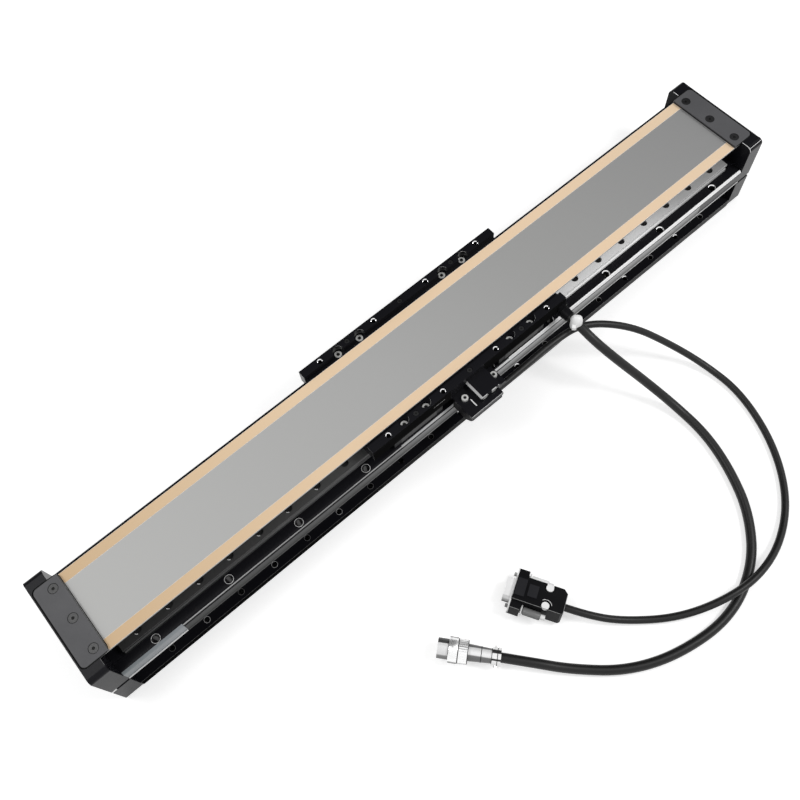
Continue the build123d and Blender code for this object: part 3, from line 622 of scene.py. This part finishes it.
def spun(shape, profile, place, turn=None, steps=32, teeth=0.0, toothed=1.0):
    """Add a closed profile of radius and height, turned about an axis, in millimetres.

    Every second point further out than toothed lies deeper by teeth, which makes a knurl.
    """
    turn = turn or Matrix.Identity(3)
    rings = []
    for radius, height in profile:
        ring = []
        for i in range(steps):
            reach = radius - teeth * (i % 2) if radius > toothed else radius
            angle = 2 * pi * i / steps
            spot = turn @ Vector((reach * cos(angle), reach * sin(angle), height))
            ring.append(shape.verts.new((spot + Vector(place)) * mm))
        rings.append(ring)
    for low, high in zip(rings, rings[1:] + rings[:1]):
        join_rings(shape, low, high)


def join_rings(shape, low, high):
    """Add the faces between two rings of as many points."""
    count = len(low)
    for i in range(count):
        j = (i + 1) % count
        shape.faces.new((low[i], low[j], high[j], high[i]))


def block(shape, low, high, turn, place):
    """Add a box between two corners, in millimetres, turned about a place."""
    spots = [turn @ Vector((x, y, z)) + Vector(place)
             for x in (low[0], high[0]) for y in (low[1], high[1]) for z in (low[2], high[2])]
    corners = [shape.verts.new(spot * mm) for spot in spots]
    for face in ((0, 1, 3, 2), (4, 6, 7, 5), (0, 4, 5, 1), (2, 3, 7, 6), (0, 2, 6, 4), (1, 5, 7, 3)):
        shape.faces.new([corners[i] for i in face])


def cones(name, places, radius, depth, body, shade):
    """Countersinks inside a row of bores."""
    shape = bmesh.new()
    for place in places:
        spun(shape, [(radius, 0), (radius - depth, -depth), (radius, -depth)], place)
    piece_of(name, shape, body, shade)


def sockets(name, places, radius, body):
    """Dark hexagons of painted shade that stand for the sockets in a row of screw heads."""
    shape = bmesh.new()
    for place in places:
        spun(shape, [(0, -0.1), (radius, -0.1), (radius, 0.04), (0, 0.04)], place, steps=6)
    piece_of(name, shape, body, "recess_shade")


def skin(name, outline, ends, body, shade, thick=0.06):
    """A thin skin along X over an outline of points in Y and Z with their outward directions."""
    shape = bmesh.new()
    loops = []
    for x in ends:
        loop = [shape.verts.new((x * mm, y * mm, z * mm)) for y, z, *_ in outline]
        back = [shape.verts.new((x * mm, (y + ny * thick) * mm, (z + nz * thick) * mm))
                for y, z, ny, nz in outline]
        loops.append(loop + back[::-1])
    join_rings(shape, *loops)
    shape.faces.new(loops[0])
    shape.faces.new(loops[1][::-1])
    piece_of(name, shape, body, shade)


# Routes and outlines

def line_x(low, high, y, z):
    """A straight route along X."""
    return [(low, y, z), (high, y, z)]


def line_y(x, low, high, z):
    """A straight route along Y."""
    return [(x, low, z), (x, high, z)]


def curl(x, y, z, radius, first, last, count=10):
    """Points of an arc in X and Y at one height."""
    turns = [radians(first + (last - first) * i / count) for i in range(count + 1)]
    return [(x + radius * cos(a), y + radius * sin(a), z) for a in turns]


def ring_at(x, y, z, radius):
    """Points of a whole circle at one height."""
    return curl(x, y, z, radius, 0, 360, 24)


def bend(y, z, radius, first, last, count=8):
    """Points of an arc in Y and Z with their outward directions, first and last from +Z to -Y."""
    points = []
    for i in range(count + 1):
        angle = radians(first + (last - first) * i / count)
        points.append((y - radius * sin(angle), z + radius * cos(angle), -sin(angle), cos(angle)))
    return points


def upright(y, high, low):
    """Outline of an upright face that looks towards -Y."""
    return [(y, high, -1.0, 0.0), (y, low, -1.0, 0.0)]


def rounded_frame(x, z, length, width, corner):
    """Closed outline of a rectangle with rounded corners, on the centre line at one height."""
    points = []
    for turn, (sx, sy) in enumerate(((1, 1), (-1, 1), (-1, -1), (1, -1))):
        middle = (x + sx * (length / 2 - corner), sy * (width / 2 - corner))
        points += curl(*middle, z, corner, 90 * turn, 90 * turn + 90, 5)
    return points + points[:1]


# Details of the base

def dress_deck():
    """Painted highlights on the deck's rounded front edge and at its foot, and the pale strip at its near
    end.
    """
    for part, first, last, low, high in (("near", 40, 58, tape_end, light_change),
                                         ("mid", 28, 64, light_change, 45.0),
                                         ("far", 16, 70, 45.0, profile_end)):
        skin("deck_edge_highlight_" + part, bend(*deck_corner, first, last), (low, high), "base", "edge_rising")
    side = bend(*deck_corner, 24, 90) + [(-base_half, 34.3, -1.0, 0.0)]
    skin("deck_strip", side, (-profile_end, tape_end - 0.3), "base", "strip_grey", 0.15)
    wire("deck_foot_highlight", [line_x(tape_end, profile_end, -42.7, 32.4)], 0.42, "base",
         "foot_highlight_rising")
    wire("strip_foot_highlight", [line_x(-299.3, -251.5, -42.9, 33.6)], 0.6, "base", "edge_white")


def dress_flange():
    """Painted shade and light on the flange's front face, a painted highlight on its edges, and dark discs
    as painted shadow at the foot of its holes.
    """
    skin("flange_face_light_and_shade", upright(-base_half, 7.2, 0.4), (-profile_end, profile_end), "base",
         "flange_painted_light")
    shape = bmesh.new()
    for x in flange_xs:
        for side in sides:
            spun(shape, [(0, 0.1), (2.2, 0.1), (2.2, 0.6), (0, 0.6)], (x, side * hole_y, 0), steps=16)
    piece_of("flange_hole_shadows", shape, "base", "recess_shade")
    edges = [line_x(-profile_end, profile_end, side * 42.27, 7.45) for side in sides]
    wire("flange_edge_highlight", edges, 0.12, "base", "edge_dim")


def dress_rims(name, xs, radius, height, depth, far_shade, near_shade):
    """Rims of two rows of holes: countersinks past the change of light along X, and rings of painted
    highlight before it.

    A hole that lies right at the change has neither.
    """
    far = [(x, side * hole_y, height) for side in sides for x in xs if x > light_change]
    cones(name, far, radius, depth, "base", far_shade)
    near = [ring_at(x, side * hole_y, height, radius) for side in sides for x in xs if x < light_change]
    wire(name + "_near", near, 0.16, "base", near_shade)


def dress_rail():
    """Painted highlight on the front rail's front edge, and painted glints at the holes of its near part.
    """
    wire("rail_edge_highlight", [line_x(-289.5, 289.5, -32.9, 53.4)], 0.15, "base",
         "foot_highlight_rising")
    glints = [curl(x, -rail_y, rail_z, 3.1, 210, 250, 4) for x in rail_xs if x < -110]
    wire("rail_glints", glints, 0.34, "base", "edge_white")


def dress_pads():
    """Dark sockets and rings of the pad screws and dark gaps round the pads, all painted shade."""
    sockets("pad_sockets", [(x, y, pad_socket_z) for x, y in pad_screws], 1.15, "base")
    gaps = [rounded_frame(side * 302.4, 70.7, 19.8, 65.1, 3.6) for side in sides]
    wire("pad_gap_shadows", gaps, 0.3, "base", "recess_shade")
    rings = [ring_at(x, y, pad_ring_z, 3.45) for x, y in pad_screws]
    wire("pad_ring_shadows", rings, 0.2, "base", "recess_shade")


def dress_blocks():
    """Painted highlights on the edges of both end blocks, and at the end of the near one's front slot."""
    rounded = [(block_in, y, z) for y, z, *_ in bend(*block_corner, 0, 80)]
    far = [
        line_y(block_in, -pocket_half, -block_flat, block_z) + rounded,
        line_x(300.2, 313.8, -40.8, 70.2),
        line_y(313.8, -38.0, 38.0, 70.95),
        line_y(block_in, pocket_half, block_flat, block_z),
    ]
    wire("far_block_highlights", far, 0.2, "base", "edge_white")
    near = [
        line_y(-313.87, -38.0, 38.0, 70.95),
        line_y(-block_in, -pocket_half, -block_flat, block_z),
        line_y(-block_in, pocket_half, block_flat, block_z),
    ]
    wire("near_block_edges", near, 0.12, "base", "edge_grey")
    shape = bmesh.new()
    block(shape, (-313.9, -42.35, 28.7), (-310.4, -41.0, 31.3), Matrix.Identity(3), (0, 0, 0))
    piece_of("slot_end_highlight", shape, "base", "edge_white")


def dress_lip():
    """Painted highlight on the edge of the deck's rear lip."""
    wire("lip_edge_highlight", [line_x(-profile_end, profile_end, 42.0, lip_z)], 0.08, "base",
         "edge_dim")


def dress_bands():
    """Painted highlights on the outer and inner edges of the cream bands."""
    edges = [line_x(-band_end, band_end, side * y, z) for y, z in ((31.75, 68.96), (23.8, 68.98))
             for side in sides]
    wire("band_edge_highlights", edges, 0.09, "base", "edge_white")


def dress_base():
    """All details of the fixed body."""
    dress_deck()
    dress_flange()
    dress_rims("deck_rims", row(10, 60.0), 3.12, deck_z + 0.01, 0.62, "bare_cut", "edge_white")
    dress_rims("flange_rims", row(9, 60.0), 2.27, flange_z + 0.01, 0.5, "bare_cut", "edge_soft")
    # the rims of this row are painted highlights, dimmer than those of the row above
    dress_rims("flange_dim", row(10, 60.0), 2.27, flange_z + 0.01, 0.4, "edge_dim", "edge_dim")
    dress_rail()
    dress_pads()
    dress_blocks()
    dress_lip()
    dress_bands()


# Details of the carriage

def dress_bars():
    """Rims and sockets, painted highlights on the scallop edges and ends, and the front face of the two
    bars; the sockets are painted shade.
    """
    taps = [(x, side * bar_hole_y, bar_z) for side in sides for x in row(4, bar_pitch, carriage_x)]
    cones("tap_rims", taps, 2.02, 0.55, "carriage", "bare_cut")
    small = [(x, side * bar_hole_y, bar_socket_z) for side in sides for x in row(3, bar_pitch, carriage_x)]
    sockets("bar_sockets", small, 0.9, "carriage")
    walls = [curl(x, -35.9, bar_edge_z, 4.3, 285, 350) for x in bearing_screw_xs]
    walls += [curl(x, 35.9, bar_edge_z, 4.3, 10, 75) for x in bearing_screw_xs]
    wire("scallop_highlights", walls, 0.1, "carriage", "edge_soft")
    ends = [line_y(x, side * 35.3, side * 41.6, bar_edge_z) for x in (-83.95, 98.95) for side in sides]
    wire("bar_end_highlights", ends, 0.1, "carriage", "edge_grey")
    for part, low, high in (("near", -83.9, -13.2), ("far", 18.0, 98.9)):
        skin("carriage_side_" + part, upright(-carriage_half, 71.8, 58.6), (low, high), "carriage",
             "matte_black")


def dress_screws():
    """Sockets of the bearing screws and of the read head's screws, as dark hexagons of painted shade."""
    heads = [(x, side * rail_y + dy, bearing_socket_z) for x in bearing_screw_xs for side in sides
             for dy in row(2, 20.0)]
    sockets("bearing_sockets", heads, 1.45, "carriage")
    hexes = [(x, head_screw_y, head_socket_z) for x in head_screw_xs]
    sockets("head_sockets", hexes, 1.25, "carriage")


def dress_bracket():
    """Painted highlights on the chamfer, edges and slot of the read head's bracket, and on the bar's foot
    beside it.
    """
    shape = bmesh.new()
    tilt = Matrix.Rotation(radians(-45), 3, "Y")
    block(shape, (0.05, -16.6, 0.0), (2.05, 0.0, 0.06), tilt, (0.5, -41.9, 64.8))
    piece_of("bracket_chamfer_highlight", shape, "carriage", "edge_soft")
    front = [line_x(low, high, -58.45, 66.1) for low, high in ((0.8, 6.0), (10.2, 14.4), (16.3, 17.0))]
    wire("bracket_front_highlight", front, 0.2, "carriage", "edge_white")
    ring = [(12.8 + 2.9 * cos(a), -58.6, 63.2 + 2.9 * sin(a))
            for a in (radians(15 + 12 * i) for i in range(11))]
    wire("bracket_ring_highlight", [ring], 0.15, "carriage", "edge_white")
    wire("bracket_slot_highlight", [line_y(-3.4, -51.5, -58.1, 59.3)], 0.55, "carriage", "edge_white")
    wire("bracket_lip_highlight", [line_x(-12.3, 17.3, -62.95, 59.75)], 0.22, "carriage", "edge_soft")
    wire("bar_foot_highlight", [line_x(-29.5, -19.0, -41.85, 66.45)], 0.12, "carriage", "edge_grey")


def dress_carriage():
    """All details of the carriage itself."""
    dress_bars()
    dress_screws()
    dress_bracket()


# Details of the plugs and the tie

def round_turn():
    """Turn of the round plug, whose own Z runs along it."""
    angle = radians(round_angle)
    away = Vector((cos(angle), sin(angle), 0))
    return Matrix((Vector((-away.y, away.x, 0)), Vector((0, 0, 1)), away)).transposed()


def knurled(name, profile, toothed):
    """A knurled piece of the round plug."""
    shape = bmesh.new()
    spun(shape, profile, round_at, round_turn(), steps=72, teeth=0.25, toothed=toothed)
    return piece_of(name, shape, "carriage", "plug_nickel")


def dress_round_plug():
    """Knurled nut and ring of the round plug in place of the plain ones, and painted shade in its joints.
    """
    nut = [(0, 22.6), (8.0, 22.6), (8.4, 23.0), (8.4, 28.8), (8.0, 29.2), (0, 29.2)]
    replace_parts(knurled("nut_knurled", nut, 8.1), "plug_nut")
    ring = [(6.2, 29.4), (8.5, 29.4), (8.9, 29.8), (8.9, 35.4), (8.5, 35.8), (6.2, 35.8)]
    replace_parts(knurled("ring_knurled", ring, 8.6), "plug_ring")
    shape = bmesh.new()
    for at, reach in ((6.1, 5.35), (13.4, 5.55), (22.5, 8.2), (29.3, 8.6), (35.9, 7.1), (2.4, 6.45)):
        joint = [(reach - 0.4, at - 0.22), (reach, at - 0.22), (reach, at + 0.22),
                 (reach - 0.4, at + 0.22)]
        spun(shape, joint, round_at, round_turn())
    piece_of("plug_joint_shadows", shape, "carriage", "recess_shade")


def square_frame():
    """Place and turn of the square plug's underside, whose own X runs along it."""
    angle, roll = radians(square_angle), radians(square_roll)
    along_it = Vector((cos(angle), sin(angle), 0))
    up = Vector((sin(angle) * sin(roll), -cos(angle) * sin(roll), cos(roll)))
    turn = Matrix((along_it, up.cross(along_it), up)).transposed()
    return Vector(square_at) - up * hood_half, turn


def dress_thumbscrews():
    """Knurled thumbscrews in place of the plain ones, and white collars on them as a painted highlight."""
    place, turn = square_frame()
    onto_x = Matrix(((0, 0, 1), (1, 0, 0), (0, 1, 0)))
    profile = [(0, 14.0), (2.5, 14.0), (2.8, 14.3), (2.8, 25.9), (2.5, 26.2), (2.1, 26.2),
               (2.1, 28.6), (1.4, 28.6), (1.4, 39.0), (0, 39.0)]
    spots = [place + turn @ Vector((0, side * thumb_y, hood_half)) for side in sides]
    shape = bmesh.new()
    for spot in spots:
        spun(shape, profile, spot, turn @ onto_x, steps=40, teeth=0.2, toothed=2.6)
    screws = piece_of("thumbscrews_knurled", shape, "carriage", "thumb_painted_reflection")
    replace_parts(screws, "plug_thumbscrews")
    shape = bmesh.new()
    for spot in spots:
        spun(shape, [(2.0, 27.0), (3.9, 27.0), (3.9, 27.9), (2.0, 27.9)], spot, turn @ onto_x)
        spun(shape, [(0, 10.6), (1.9, 10.6), (1.9, 13.9), (0, 13.9)], spot, turn @ onto_x)
    piece_of("thumb_collar_highlights", shape, "carriage", "edge_white")


def dress_hood():
    """Thin panels and painted highlights on the edges of the square plug's hood."""
    place, turn = square_frame()
    shape = bmesh.new()
    block(shape, (28.5, -7.3, hood_top), (35.5, 6.1, hood_pad_top), turn, place)
    block(shape, (19.8, -4.9, hood_top), (26.6, 4.5, hood_pad_top), turn, place)
    piece_of("hood_pads", shape, "carriage", "hood_pad")
    edges = [line_x(1.7, 35.8, 9.45, 15.4), line_x(28.8, 35.8, 15.2, 13.4),
             line_y(0.1, 7.9, -6.4, 15.3)]
    arc = [(12.7 + 4.3 * cos(a), 6.9 + 4.3 * sin(a), 15.4)
           for a in (radians(-165 + 13 * i) for i in range(10))]
    for name, routes, radius, shade in (("hood_edge_highlight", edges, 0.16, "edge_grey"),
                                        ("flange_line_highlight", [line_y(36.7, 7.6, 15.0, 14.0)], 0.5,
                                         "edge_white"),
                                        ("hood_arc_highlight", [arc], 0.2, "edge_white")):
        turned = [[place + turn @ Vector(spot) for spot in route] for route in routes]
        wire(name, turned, radius, "carriage", shade)


def dress_tie():
    """White wrap with its knob, round both cords beside the carriage, in place of the plain one."""
    away = Vector((1, -1, 0)).normalized()
    turn = Matrix((Vector((1, 1, 0)).normalized(), Vector((0, 0, 1)), away)).transposed()
    place = Vector(tie_at)
    steps = 28
    half_width, half_height = 4.5, 7.8
    shape = bmesh.new()
    rings = []
    for along, reach in ((-4.4, 0.0), (-4.3, 0.5), (-3.7, 0.78), (-2.4, 0.97), (0.0, 1.04),
                         (2.4, 0.97), (3.7, 0.78), (4.3, 0.5), (4.4, 0.0)):
        ring = []
        for i in range(steps):
            a = 2 * pi * i / steps
            spot = Vector((half_width * cos(a), half_height * sin(a), 0)) * reach
            spot.z = along
            ring.append(shape.verts.new((turn @ spot + place) * mm))
        rings.append(ring)
    for low, high in zip(rings, rings[1:]):
        join_rings(shape, low, high)
    block(shape, (-1.6, -1.6, -1.3), (1.6, 1.6, 1.3), turn, place + Vector((-4.9, -2.2, 1.4)))
    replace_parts(piece_of("tie_wrap", shape, "carriage", "tie_white"), "cord_tie")


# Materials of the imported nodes

def dress_nodes():
    """Give every node the material of its slot, and six of them another one."""
    for node in nodes.values():
        for place in node.material_slots:
            place.material = shades[place.material.name.split(".")[0]]
    # the steel hood screws get flat white as a painted highlight, and the shell, barrel, sleeve and clamp
    # painted light and shade
    others = {"rail_screws": "screw_black", "plug_shell": "shell_painted_shade", "hood_screws": "tie_white",
              "plug_barrel": "barrel_painted_bands", "plug_sleeve": "sleeve_painted_bands",
              "plug_clamp": "clamp_painted_bands"}
    for name, shade in others.items():
        nodes[name].material_slots[0].material = shades[shade]


dress_nodes()
make_camera()
make_world()
make_floor()
make_card()
make_lamp("key", place=(0.5, -0.55, 1.0), target=(0.1, -0.03, 0.05), size=0.3, watts=4.5)
make_lamp("fill", place=(-0.5, 0.3, 0.95), target=(-0.2, 0.0, 0.07), size=0.5, watts=3.2)

dress_base()
dress_carriage()
dress_round_plug()
dress_thumbscrews()
dress_hood()
dress_tie()

power = make_cord("power_cord_line", power_route, power_d)
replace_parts(power, "power_cord")
encoder = make_cord("encoder_cord_line", encoder_route, encoder_d)
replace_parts(encoder, "encoder_cord")

bpy.context.scene.view_settings.view_transform = "Standard"
